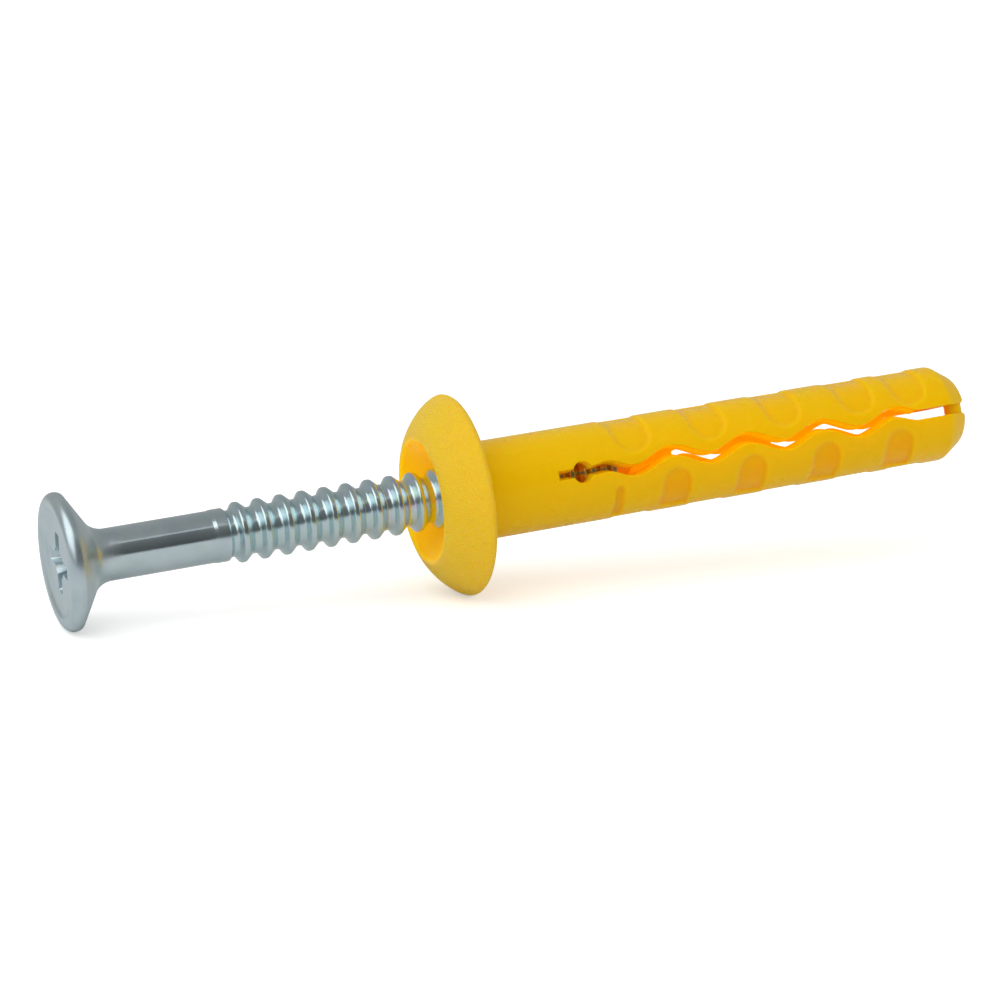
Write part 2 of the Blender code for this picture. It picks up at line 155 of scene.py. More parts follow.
# The bridge joins the legs across the near slot.
BRIDGE_DIAMETER = 1.45 * MM
BRIDGE_FROM_TIP = 1.2 * MM
BRIDGE_FROM_AXIS = 2.45 * MM

# Pockets, shallow arches over the lobes beside the slot
POCKET_DEPTH = 0.25 * MM
LONG_POCKET_WIDTH = 3.7 * MM
SHORT_POCKET_WIDTH = 3.1 * MM
POCKET_FROM_AXIS = 0.75 * MM
LONG_POCKET_SHIFT = 0.2 * MM
SHORT_POCKET_SHIFT = 0.1 * MM
# The pockets' walls slope down over this width, on the collar's side and on the tip's side.
POCKET_WALL_SOFT = 1.1 * MM
POCKET_WALL = 0.36 * MM
FIRST_POCKET_WIDTH = 1.25 * MM
FIRST_POCKET_AT = 12.2 * MM
FIRST_POCKET_FROM_AXIS = 1.5 * MM
LAST_POCKET_AT = 39.2 * MM
LONG_POCKET_PAST = 0.8 * MM
SHORT_POCKET_SHORT = 1.0 * MM

# Camera, with how far the axis start lies right of and below the image's middle, in pixels
CAMERA_AZIMUTH = math.radians(-21.5)
CAMERA_ELEVATION = math.radians(12.4)
CAMERA_DISTANCE = 273.8 * MM
FOCAL_PIXELS = 3400
AXIS_START_RIGHT = -38.5
AXIS_START_DOWN = -6.03
SENSOR_WIDTH = 36.0
IMAGE_PIXELS = 1000
CLIP_START = 0.01
CLIP_END = 100.0

# Light: how bright the room is, and what gloss sees by degrees up from the viewer's horizon
WORLD_LIGHT = 0.7
GLOSS_STOPS = ((-180, 0.50), (-60, 0.55), (2, 0.50), (5, 0.09), (20, 0.12), (40, 0.16), (54, 0.20),
               (58, 0.75), (62, 0.34), (100, 0.33), (180, 0.42))
FLOOR_COLOUR = (0.9, 0.9, 0.9, 1.0)
FLOOR_GLOW = 0.4
FLOOR_IN_LIGHT = (0.88, 0.88, 0.88, 1.0)
FLOOR_IN_GLOSS = (0.68, 0.68, 0.68, 1.0)
FLOOR_HALF = 30.0
# The floor lies a little under the object, so that the two don't share a plane.
FLOOR_HEIGHT = -0.03 * MM
KEY_PLACE = (-0.30, -0.17, 0.37)
KEY_SIZE = 0.60
KEY_POWER = 1.25
WHITE = (1.0, 1.0, 1.0, 1.0)
BLACK = (0.0, 0.0, 0.0, 1.0)

# Nylon's colours
NYLON_DARK = (0.82, 0.51, 0.0005, 1.0)
NYLON_LIGHT = (0.86, 0.55, 0.0005, 1.0)
# Painted shade: a darker, more saturated orange for the pockets
NYLON_POCKET_SHADE = (0.86, 0.41, 0.0, 1.0)
NYLON_DOME = (0.88, 0.59, 0.034, 1.0)
# Painted glow: a brighter, redder colour for the mouth, bore and slots' walls
NYLON_INSIDE_PAINTED_GLOW = (1.0, 0.60, 0.0, 1.0)
NYLON_GLOSS = (1.0, 0.80, 0.25, 1.0)
SHINE_DEPTH = 1.0 * MM
SHINE_DEPTH_INSIDE = 5.0 * MM
# Painted glow: emission on the mouth and the slots' walls, standing in for the light that comes through the
# nylon's walls
PAINTED_GLOW_STRENGTH = 0.26
PAINTED_GLOW_COLOUR = (1.0, 0.37, 0.0, 1.0)

# Zinc's colours, the last a painted warm reflection on the nail's part that lies in the sleeve, in place of
# the orange light in there
ZINC_DARK = (0.56, 0.68, 0.72, 1.0)
ZINC_LIGHT = (0.65, 0.76, 0.79, 1.0)
ZINC_RIDGES = (0.59, 0.75, 0.78, 1.0)
ZINC_VIOLET = (0.66, 0.60, 0.82, 1.0)
ZINC_OLIVE = (0.66, 0.74, 0.52, 1.0)
ZINC_PAINTED_WARM_LIGHT = (0.62, 0.44, 0.07, 1.0)


def axis_matrix():
    """Puts the pieces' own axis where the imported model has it."""
    along = Vector((math.cos(AXIS_TILT), 0.0, math.sin(AXIS_TILT)))
    up = Vector((-math.sin(AXIS_TILT), 0.0, math.cos(AXIS_TILT)))
    turn = Matrix((up, along.cross(up), along)).transposed().to_4x4()
    return Matrix.Translation(AXIS_START) @ turn


def link(piece):
    """Puts an object into the scene."""
    bpy.context.scene.collection.objects.link(piece)
    return piece


def arc(centre_radius, centre_at, radius, start, end, count):
    """Points of an arc in the profile plane, angles from the outward direction towards the tip."""
    points = []
    for i in range(count):
        angle = start + (end - start) * i / (count - 1)
        points.append((centre_radius + radius * math.cos(angle), centre_at + radius * math.sin(angle)))
    return points


def rounded(corners):
    """A profile from (radius, place, rounding) corners, with an arc at each corner that has a rounding."""
    points = []
    for i, (radius, at, rounding) in enumerate(corners):
        here = Vector((radius, at))
        if rounding == 0 or i in (0, len(corners) - 1):
            points.append((radius, at))
            continue
        to_last = Vector(corners[i - 1][:2]) - here
        to_next = Vector(corners[i + 1][:2]) - here
        turn = math.pi - to_last.angle(to_next)
        reach = min(rounding * math.tan(turn / 2), 0.49 * to_last.length, 0.49 * to_next.length)
        real = reach / math.tan(turn / 2)
        start = here + to_last.normalized() * reach
        centre = here + (to_last.normalized() + to_next.normalized()).normalized() * real / math.cos(turn / 2)
        spoke = start - centre
        side = 1 if to_last.cross(to_next) < 0 else -1
        count = max(2, math.ceil(turn / ARC_STEP))
        for k in range(count + 1):
            swung = spoke.copy()
            swung.rotate(Matrix.Rotation(side * turn * k / count, 2))
            points.append(tuple(centre + swung))
    return points


def turned(name, profile, sides, depth_at=None):
    """A half outline swept round local Z into a closed mesh, with hollows where depth_at has them."""
    mesh = bpy.data.meshes.new(name + "_turned")
    work = bmesh.new()
    rows = []
    for radius, at in profile:
        if radius < MERGE:
            rows.append([work.verts.new((0.0, 0.0, at))])
            continue
        ring = []
        for i in range(sides):
            angle = 2 * math.pi * i / sides
            reach = radius - depth_at(radius, angle, at) if depth_at else radius
            ring.append(work.verts.new((reach * math.cos(angle), reach * math.sin(angle), at)))
        rows.append(ring)
    for last, row in zip(rows, rows[1:]):
        for i in range(sides):
            j = (i + 1) % sides
            corners = [last[i % len(last)], last[j % len(last)], row[j % len(row)], row[i % len(row)]]
            face = list(dict.fromkeys(corners))
            if len(face) > 2:
                work.faces.new(face)
    bmesh.ops.recalc_face_normals(work, faces=work.faces)
    work.to_mesh(mesh)
    work.free()
    return link(bpy.data.objects.new(name, mesh))


def prism(outline, near, far, turn, far_outline=None):
    """A flat outline of (height, along the axis) points, made solid between two distances from the axis."""
    work = bmesh.new()
    front = [work.verts.new((height, far, at)) for height, at in far_outline or outline]
    back = [work.verts.new((height, near, at)) for height, at in outline]
    work.faces.new(front)
    work.faces.new(list(reversed(back)))
    for i in range(len(outline)):
        j = (i + 1) % len(outline)
        work.faces.new((front[j], front[i], back[i], back[j]))
    bmesh.ops.recalc_face_normals(work, faces=work.faces)
    return cutter_from(work, Matrix.Rotation(turn, 4, "Z"))


def cylinder(diameter, length, place, direction, turn):
    """A round cutter whose middle lies at a place."""
    work = bmesh.new()
    bmesh.ops.create_cone(work, cap_ends=True, segments=CUTTER_SIDES, radius1=diameter / 2,
                          radius2=diameter / 2, depth=length)
    aim = Vector(direction).to_track_quat("Z", "Y").to_matrix().to_4x4()
    return cutter_from(work, Matrix.Rotation(turn, 4, "Z") @ Matrix.Translation(place) @ aim)


def cutter_from(work, place):
    """Makes an object of a cutter's mesh, laid at its place."""
    mesh = bpy.data.meshes.new("cutter")
    work.to_mesh(mesh)
    work.free()
    mesh.transform(place)
    return link(bpy.data.objects.new("cutter", mesh))


def cut(piece, *cutters):
    """Takes the cutters out of a piece, in turn, and throws them away."""
    for cutter in cutters:
        boolean = piece.modifiers.new("cut", "BOOLEAN")
        boolean.object = cutter
        boolean.operation = "DIFFERENCE"
        boolean.solver = "EXACT"
    bpy.context.view_layer.update()
    graph = bpy.context.evaluated_depsgraph_get()
    result = bpy.data.meshes.new_from_object(piece.evaluated_get(graph))
    piece.modifiers.clear()
    old = piece.data
    piece.data = result
    bpy.data.meshes.remove(old)
    for cutter in cutters:
        bpy.data.objects.remove(cutter)


def head_profile():
    """From the shank up the concave underside, round the rim and down to the middle of the face."""
    shank_radius = SHANK_DIAMETER / 2
    rim_centre = HEAD_DIAMETER / 2 - HEAD_RIM_RADIUS
    lean = HEAD_CONE_ANGLE
    leave_angle = math.pi / 2 - lean
    leave = arc(rim_centre, HEAD_RIM, HEAD_RIM_RADIUS, leave_angle, 0, 2)[0]
    fillet_top_radius = shank_radius + HEAD_FILLET_RADIUS * (1 - math.cos(lean))
    fillet_top_at = leave[1] + (leave[0] - fillet_top_radius) / math.tan(lean)
    fillet_centre_at = fillet_top_at + HEAD_FILLET_RADIUS * math.sin(lean)
    fillet = arc(shank_radius + HEAD_FILLET_RADIUS, fillet_centre_at, HEAD_FILLET_RADIUS,
                 math.pi, math.pi + lean, HEAD_FILLET_POINTS)
    rim = arc(rim_centre, HEAD_RIM, HEAD_RIM_RADIUS, leave_angle, HEAD_RIM_END_ANGLE, HEAD_RIM_POINTS)
    face = rounded([(*rim[-1], 0), (HEAD_FACE_DIAMETER / 2, HEAD_FACE, HEAD_FACE_ROUNDING),
                    (0.0, HEAD_FACE, 0)])
    return fillet + rim + face[1:]


def nail_profile():
    """The nail from its point back to the middle of its head."""
    root = ROOT_DIAMETER / 2
    crest = RIDGE_DIAMETER / 2
    shank_end = SHANK_END_DIAMETER / 2
    last_ridge = FIRST_RIDGE + (RIDGE_COUNT - 1) * RIDGE_PITCH
    point_at = last_ridge + RIDGE_FRONT + POINT_LENGTH
    corners = [(0.0, point_at, 0), (POINT_DIAMETER / 2, point_at, POINT_DIAMETER / 4)]
    for i in reversed(range(RIDGE_COUNT)):
        at = FIRST_RIDGE + i * RIDGE_PITCH
        foot_rounding = POINT_ROUNDING if i == RIDGE_COUNT - 1 else RIDGE_ROOT_ROUNDING
        corners.append((root, at + RIDGE_FRONT, foot_rounding))
        corners.append((crest, at + RIDGE_CREST_FRONT, RIDGE_CREST_ROUNDING))
        corners.append((crest, at - RIDGE_CREST_BACK, RIDGE_CREST_ROUNDING))
        corners.append((root, at - RIDGE_BACK, RIDGE_ROOT_ROUNDING))
    corners.append((root, SHANK_END + NECK_SLOPE, SHANK_END_ROUNDING))
    corners.append((shank_end, SHANK_END, SHANK_END_ROUNDING))
    corners.append((shank_end, SHANK_END - SHANK_END_LENGTH, SHANK_END_ROUNDING))
    corners.append((SHANK_DIAMETER / 2, SHANK_END - SHANK_END_LENGTH - NECK_SLOPE, SHANK_END_ROUNDING))
    head = head_profile()
    corners.append((*head[0], 0))
    return rounded(corners) + head[1:]


def collar_profile():
    """The collar from its back face out round the rim, over the dome and into the mouth."""
    rim_centre = COLLAR_DIAMETER / 2 - COLLAR_RIM_RADIUS
    rim = arc(rim_centre, -COLLAR_RIM_RADIUS, COLLAR_RIM_RADIUS, math.pi / 2, 0, 10)
    lip = MOUTH_DIAMETER / 2 + MOUTH_LIP_RADIUS
    reach = COLLAR_DIAMETER / 2 - lip
    rise = COLLAR_HEIGHT - COLLAR_RIM_RADIUS
    dome = []
    for i in range(1, COLLAR_DOME_POINTS):
        angle = math.pi / 2 * i / COLLAR_DOME_POINTS
        across = math.cos(angle) ** COLLAR_DOME_SHAPE
        along = math.sin(angle) ** COLLAR_DOME_SHAPE
        dome.append((lip + reach * across, -COLLAR_RIM_RADIUS - rise * along))
    mouth = arc(lip, -COLLAR_HEIGHT + MOUTH_LIP_RADIUS, MOUTH_LIP_RADIUS, -math.pi / 2, -math.pi, 7)
    return rim + dome + mouth


def sleeve_profile():
    """The sleeve from the middle of its tip down the outside, round the collar and up the bore."""
    outer = SLEEVE_DIAMETER / 2
    arc_end_at = SLEEVE_LENGTH - TIP_ROUNDING * (1 - math.sin(TIP_TAPER_ANGLE))
    taper_start = SLEEVE_LENGTH - TIP_TAPER_LENGTH
    arc_end = outer - (arc_end_at - taper_start) * math.tan(TIP_TAPER_ANGLE)
    arc_centre = arc_end - TIP_ROUNDING * math.cos(TIP_TAPER_ANGLE)
    profile = [(0.0, SLEEVE_LENGTH)]
    profile += arc(arc_centre, SLEEVE_LENGTH - TIP_ROUNDING, TIP_ROUNDING, math.pi / 2, TIP_TAPER_ANGLE, 10)
    collar = collar_profile()
    body = rounded([(*profile[-1], 0), (outer, taper_start, SHOULDER_ROUNDING), (outer, 0.0, ROOT_FILLET),
                    (*collar[0], 0)])[1:-1]
    shoulder = [point for point in body if point[1] > SLEEVE_LENGTH / 2]
    rows = round((shoulder[-1][1] - GRID_START) / GRID_STEP)
    grid = [(outer, shoulder[-1][1] + (GRID_START - shoulder[-1][1]) * i / rows) for i in range(1, rows + 1)]
    profile += shoulder + grid + [point for point in body if point[1] < SLEEVE_LENGTH / 2]
    profile += collar
    bore = BORE_DIAMETER / 2
    profile.append((bore, -COLLAR_HEIGHT + COUNTERSINK_DEPTH))
    profile.append((bore, BORE_END - BORE_POINT_LENGTH))
    profile.append((BORE_POINT_DIAMETER / 2, BORE_END))
    profile.append((0.0, BORE_END))
    return profile


def wave_end():
    """Where the last wave has come back to the middle."""
    return WAVE_CREST_AT + (WAVE_CRESTS - 1) * WAVE_PITCH + WAVE_PITCH / 4


def wave(at):
    """Height of the slot's middle line at a place along the axis."""
    first = RELIEF_HOLE_AT + RELIEF_HOLE_DIAMETER / 2
    if at <= first or at >= wave_end():
        return 0.0
    share = min(1.0, (at - first) / WAVE_RAMP)
    grown = share * share * (3 - 2 * share)
    return WAVE_HEIGHT * grown * math.cos(2 * math.pi * (at - WAVE_CREST_AT) / WAVE_PITCH)


def slot_outline(from_axis):
    """One side's slot at a distance from the axis, from the narrow slit through the waves to its end."""
    wall = (SLEEVE_DIAMETER - BORE_DIAMETER) / 2
    wider = SLOT_TAPER * (from_axis - SLEEVE_DIAMETER / 2) / wall
    wave_start = RELIEF_HOLE_AT
    length = wave_end() - wave_start
    steps = round(length / WAVE_PITCH * WAVE_STEPS_PER_PITCH)
    places = [(SLIT_START, SLIT_WIDTH), (wave_start, SLIT_WIDTH)]
    for i in range(1, steps + 1):
        at = wave_start + length * i / steps
        share = min(1.0, (at - wave_start) / WAVE_RAMP)
        places.append((at, SLIT_WIDTH + (SLOT_WIDTH - SLIT_WIDTH) * share))
    places.append((wave_end() + SLOT_WIDTH, SLIT_WIDTH * END_INSIDE_SHARE))
    upper = [(wave(at) + (width + wider) / 2, at) for at, width in places]
    lower = [(wave(at) - (width + wider) / 2, at) for at, width in reversed(places)]
    return upper + lower


def tip_slot_outline():
    """The straight end of the slot, which goes right through the sleeve and out of its tip."""
    half = SLIT_WIDTH / 2
    start = wave_end() + SLOT_WIDTH / 4
    side = [(half, start)]
    for i in range(TIP_EDGE_POINTS + 1):
        angle = math.pi / 2 * i / TIP_EDGE_POINTS
        height = half + TIP_EDGE * (1 - math.cos(angle))
        side.append((height, SLEEVE_LENGTH - TIP_EDGE * (1 - math.sin(angle))))
    side.append((half + TIP_EDGE, SLEEVE_LENGTH + SLOT_WIDTH))
    return side + [(-height, at) for height, at in reversed(side)]


def web_outline(web_at, length):
    """The stretch of a slot that a web fills, taller than the slot's waves."""
    height = SLEEVE_DIAMETER / 2
    start = web_at - length / 2
    end = web_at + length / 2
    return [(height, start), (height, end), (-height, end), (-height, start)]


def list_pockets():
    """One side's pockets: place, half width, height of the arch's centre, which leg, and where they stop."""
    pockets = []
    for i in range(WAVE_CRESTS):
        at = WAVE_CREST_AT + (i - 0.5) * WAVE_PITCH + LONG_POCKET_SHIFT
        pockets.append((at, LONG_POCKET_WIDTH / 2, POCKET_FROM_AXIS, 1, -LONG_POCKET_PAST))
        at = WAVE_CREST_AT + i * WAVE_PITCH + SHORT_POCKET_SHIFT
        pockets.append((at, SHORT_POCKET_WIDTH / 2, POCKET_FROM_AXIS, -1, SHORT_POCKET_SHORT))
    pockets.append((LAST_POCKET_AT, LONG_POCKET_WIDTH / 2, POCKET_FROM_AXIS, 1, -LONG_POCKET_PAST))
    pockets.append((FIRST_POCKET_AT, FIRST_POCKET_WIDTH / 2, FIRST_POCKET_FROM_AXIS, -1, SHORT_POCKET_SHORT))
    return pockets


def pocket_depth(radius, angle, at):
    """How deep the surface lies at a place: an arch with a round end beside the slot, its walls sloped."""
    if radius < SLEEVE_DIAMETER / 2 or at < GRID_START:
        return 0.0
    deepest = 0.0
    for turn in SIDE_TURNS:
        height = radius * math.cos(angle - turn)
        outward = radius * math.sin(angle - turn)
        for place, half, from_axis, leg, stop in POCKETS:
            along = abs(at - place)
            if along >= half or outward <= stop:
                continue
            beyond = leg * height - from_axis - half
            inside = half - (along if beyond > 0 else math.hypot(beyond, along))
            toward_collar = 0.5 - 0.5 * min(1.0, max(-1.0, (at - place) / half))
            wall = POCKET_WALL + (POCKET_WALL_SOFT - POCKET_WALL) * toward_collar ** 2
            share = min(1.0, max(0.0, min(inside, outward - stop)) / wall)
            deepest = max(deepest, POCKET_DEPTH * share * share * (3 - 2 * share))
    return deepest


def build_sleeve():
    """The turned sleeve with its pockets, and the slots and relief holes cut out of it."""
    sleeve = turned("sleeve_fine", sleeve_profile(), SLEEVE_SIDES, pocket_depth)
    for turn in SIDE_TURNS:
        slot = prism(slot_outline(SLOT_CUT_FROM), SLOT_CUT_FROM, SLOT_CUT_TO, turn, slot_outline(SLOT_CUT_TO))
        if turn > 0:
            web = web_outline(WEB_AT, WEB_LENGTH)
            skin = web_outline(SKIN_AT, SKIN_LENGTH)
            cut(slot, prism(web, WEB_BACK_FROM_AXIS, WEB_FACE_FROM_AXIS, turn))
            cut(slot, prism(skin, WEB_BACK_FROM_AXIS, SKIN_FACE_FROM_AXIS, turn))
        hole = cylinder(RELIEF_HOLE_DIAMETER, SLEEVE_DIAMETER / 2,
                        (0.0, SLEEVE_DIAMETER / 2, RELIEF_HOLE_AT), (0.0, 1.0, 0.0), turn)
        cut(sleeve, slot, hole)
    tip_slot = prism(tip_slot_outline(), -SLEEVE_DIAMETER, SLEEVE_DIAMETER, -SLOT_TURN)
    bridge_at = (0.0, BRIDGE_FROM_AXIS, SLEEVE_LENGTH - BRIDGE_FROM_TIP)
    cut(tip_slot, cylinder(BRIDGE_DIAMETER, SLEEVE_DIAMETER, bridge_at, (1.0, 0.0, 0.0), -SLOT_TURN))
    cut(sleeve, tip_slot)
    return sleeve


def recess_wing(depth, turn):
    """A tapered blade of the cross with rounded edges, narrow at its floor and wide at the head's face."""
    work = bmesh.new()
    bmesh.ops.create_cube(work, size=1.0)
    for vertex in work.verts:
        at_floor = vertex.co.z > 0
        flare = (depth - RECESS_DEPTH) / depth * (1 - RECESS_FLOOR_SHARE)
        share = RECESS_FLOOR_SHARE if at_floor else 1.0 + flare
        vertex.co.x *= RECESS_SPAN * share
        vertex.co.y *= RECESS_WING * (1 + share) / 2
        vertex.co.z = 0.0 if at_floor else -depth
    bmesh.ops.bevel(work, geom=list(work.edges), offset=RECESS_EDGE, segments=4, profile=0.5, affect="EDGES")
    floor = Matrix.Translation((0.0, 0.0, HEAD_FACE + RECESS_DEPTH))
    return cutter_from(work, floor @ Matrix.Rotation(turn, 4, "Z"))


def recess_core(depth):
    """The round middle of the cross recess, a cone that narrows to the floor."""
    work = bmesh.new()
    bmesh.ops.create_cone(work, cap_ends=True, segments=RECESS_SIDES, radius1=RECESS_CORE_DIAMETER / 2,
                          radius2=RECESS_CORE_DIAMETER / 2 * RECESS_FLOOR_SHARE, depth=depth)
    middle = HEAD_FACE + RECESS_DEPTH - depth / 2 + RECESS_CORE_DEEPER
    return cutter_from(work, Matrix.Translation((0.0, 0.0, middle)))


def build_nail():
    """The turned nail with the cross recess cut into its head."""
    nail = turned("nail_fine", nail_profile(), NAIL_SIDES)
    depth = RECESS_DEPTH + MM
    wings = [recess_wing(depth, RECESS_TURN + quarter * math.pi / 2) for quarter in range(2)]
    cut(nail, *wings, recess_core(depth))
    return nail


def finish_mesh(piece, sharp_angle):
    """Cleans up a piece, shades it smooth up to an angle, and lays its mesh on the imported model's axis."""
    work = bmesh.new()
    work.from_mesh(piece.data)
    bmesh.ops.remove_doubles(work, verts=work.verts, dist=MERGE)
    work.to_mesh(piece.data)
    work.free()
    piece.data.shade_smooth()
    piece.data.set_sharp_from_angle(angle=sharp_angle)
    places = [value for vertex in piece.data.vertices for value in vertex.co]
    kept = piece.data.attributes.new(OWN_PLACE, "FLOAT_VECTOR", "POINT")
    kept.data.foreach_set("vector", places)
    piece.data.transform(axis_matrix())
    bpy.context.view_layer.update()


def new_material(name):
    """A material with its node tree and its shader."""
    made = bpy.data.materials.new(name)
    made.use_nodes = True
    return made, made.node_tree, made.node_tree.nodes["Principled BSDF"]


def add(tree, kind, **inputs):
    """A new node with some of its inputs set."""
    made = tree.nodes.new(kind)
    for key, value in inputs.items():
        made.inputs[key.replace("_", " ")].default_value = value
    return made


def noise(tree, coordinates, scale, detail):
    """Noise between 0 and 1."""
    made = add(tree, "ShaderNodeTexNoise", Scale=scale, Detail=detail)
    tree.links.new(coordinates, made.inputs["Vector"])
    return made.outputs["Fac"]


def remap(tree, value, low, high, to_low, to_high):
    """Turns one range of a value into another, and stops at its ends."""
    made = add(tree, "ShaderNodeMapRange", From_Min=low, From_Max=high, To_Min=to_low, To_Max=to_high)
    tree.links.new(value, made.inputs["Value"])
    return made.outputs["Result"]


def math_node(tree, operation, first, second):
    """One sum of two values, each a number or a socket."""
    made = tree.nodes.new("ShaderNodeMath")
    made.operation = operation
    for socket, value in zip(made.inputs, (first, second)):
        if isinstance(value, (int, float)):
            socket.default_value = value
        else:
            tree.links.new(value, socket)
    return made.outputs["Value"]


def mix_colours(tree, factor, first, second):
    """Fades from the first colour to the second, each a colour or a socket."""
    made = tree.nodes.new("ShaderNodeMix")
    made.data_type = "RGBA"
    tree.links.new(factor, made.inputs["Factor"])
    for socket, value in ((made.inputs[6], first), (made.inputs[7], second)):
        if isinstance(value, tuple):
            socket.default_value = value
        else:
            tree.links.new(value, socket)
    return made.outputs[2]


def own_place(tree):
    """The place on the piece's own axis, kept in its mesh."""
    made = tree.nodes.new("ShaderNodeAttribute")
    made.attribute_name = OWN_PLACE
    return made.outputs["Vector"]


def from_axis(tree, place):
    """Distance of a place from the piece's own axis."""
    flat = tree.nodes.new("ShaderNodeVectorMath")
    flat.operation = "MULTIPLY"
    flat.inputs[1].default_value = (1.0, 1.0, 0.0)
    tree.links.new(place, flat.inputs[0])
    length = tree.nodes.new("ShaderNodeVectorMath")
    length.operation = "LENGTH"
    tree.links.new(flat.outputs["Vector"], length.inputs[0])
    return length.outputs["Value"]


def nylon_material():
    """Warm yellow nylon, glossy on the sleeve, paler and grained on the collar's dome, with painted glow
    inside and painted shade in the lower pockets.
    """
    made, tree, shader = new_material("yellow_nylon")
    place = own_place(tree)
    split = tree.nodes.new("ShaderNodeSeparateXYZ")
    tree.links.new(place, split.inputs["Vector"])
    across = from_axis(tree, place)
    along = split.outputs["Z"]
    surface = SLEEVE_DIAMETER / 2
    before_sleeve = remap(tree, along, 0.0, -0.4 * MM, 0.0, 1.0)
    beside_mouth = remap(tree, across, 4.9 * MM, 5.3 * MM, 0.0, 1.0)
    on_dome = math_node(tree, "MULTIPLY", before_sleeve, beside_mouth)
    in_mouth = math_node(tree, "SUBTRACT", before_sleeve, on_dome)
    in_slot = remap(tree, across, surface - 0.42 * MM, surface - 0.27 * MM, 1.0, 0.0)
    before_tip = remap(tree, along, SLEEVE_LENGTH - 3.2 * MM, SLEEVE_LENGTH - 2.2 * MM, 1.0, 0.0)
    inside = math_node(tree, "MAXIMUM", in_mouth, math_node(tree, "MULTIPLY", in_slot, before_tip))
    # Painted shade: the pockets are made darker and more orange, most on their lower side.
    in_pocket = remap(tree, across, surface - 0.17 * MM, surface - 0.02 * MM, 1.0, 0.0)
    below = remap(tree, split.outputs["X"], -1.0 * MM, 1.0 * MM, 0.7, 0.1)
    painted_pocket_shade = math_node(tree, "MULTIPLY", math_node(tree, "MULTIPLY", in_pocket, below), before_tip)
    cloudy = noise(tree, place, 140.0, 3.0)
    colour = mix_colours(tree, cloudy, NYLON_DARK, NYLON_LIGHT)
    colour = mix_colours(tree, painted_pocket_shade, colour, NYLON_POCKET_SHADE)
    colour = mix_colours(tree, on_dome, colour, NYLON_DOME)
    # Painted glow: the inside surfaces are given a brighter colour in place of light coming through the
    # nylon.
    colour = mix_colours(tree, inside, colour, NYLON_INSIDE_PAINTED_GLOW)
    tree.links.new(colour, shader.inputs["Base Color"])
    flow = noise(tree, place, 500.0, 3.0)
    smooth_rough = remap(tree, flow, 0.3, 0.7, 0.24, 0.34)
    rough = math_node(tree, "ADD", smooth_rough, math_node(tree, "MULTIPLY", on_dome, 0.10))
    tree.links.new(rough, shader.inputs["Roughness"])
    grain = noise(tree, place, 6500.0, 1.0)
    grain_height = math_node(tree, "MULTIPLY", grain, on_dome)
    soft_height = math_node(tree, "MULTIPLY", flow, 0.05)
    height = math_node(tree, "ADD", grain_height, soft_height)
    bump = add(tree, "ShaderNodeBump", Strength=1.0, Distance=0.16 * MM)
    tree.links.new(height, bump.inputs["Height"])
    edges = add(tree, "ShaderNodeBevel", Radius=0.22 * MM)
    edges.samples = 6
    tree.links.new(edges.outputs["Normal"], bump.inputs["Normal"])
    tree.links.new(bump.outputs["Normal"], shader.inputs["Normal"])
    shine_depth = remap(tree, inside, 0.0, 1.0, SHINE_DEPTH, SHINE_DEPTH_INSIDE)
    tree.links.new(shine_depth, shader.inputs["Subsurface Scale"])
    # Painted glow: the mouth and the slots' walls are made to shine, weaker towards the collar, in place of
    # light through the walls.
    glow_along_legs = remap(tree, along, 13.5 * MM, 17.5 * MM, 0.4, 1.0)
    lit = math_node(tree, "MAXIMUM", in_mouth, math_node(tree, "MULTIPLY", inside, glow_along_legs))
    tree.links.new(remap(tree, lit, 0.0, 1.0, 0.0, PAINTED_GLOW_STRENGTH), shader.inputs["Emission Strength"])
    shader.inputs["Emission Color"].default_value = PAINTED_GLOW_COLOUR
    shader.inputs["Subsurface Weight"].default_value = 0.9
    shader.inputs["Subsurface Radius"].default_value = (1.0, 0.42, 0.02)
    shader.inputs["Specular IOR Level"].default_value = 0.36
    shader.inputs["Specular Tint"].default_value = NYLON_GLOSS
    shader.inputs["IOR"].default_value = 1.50
    return made


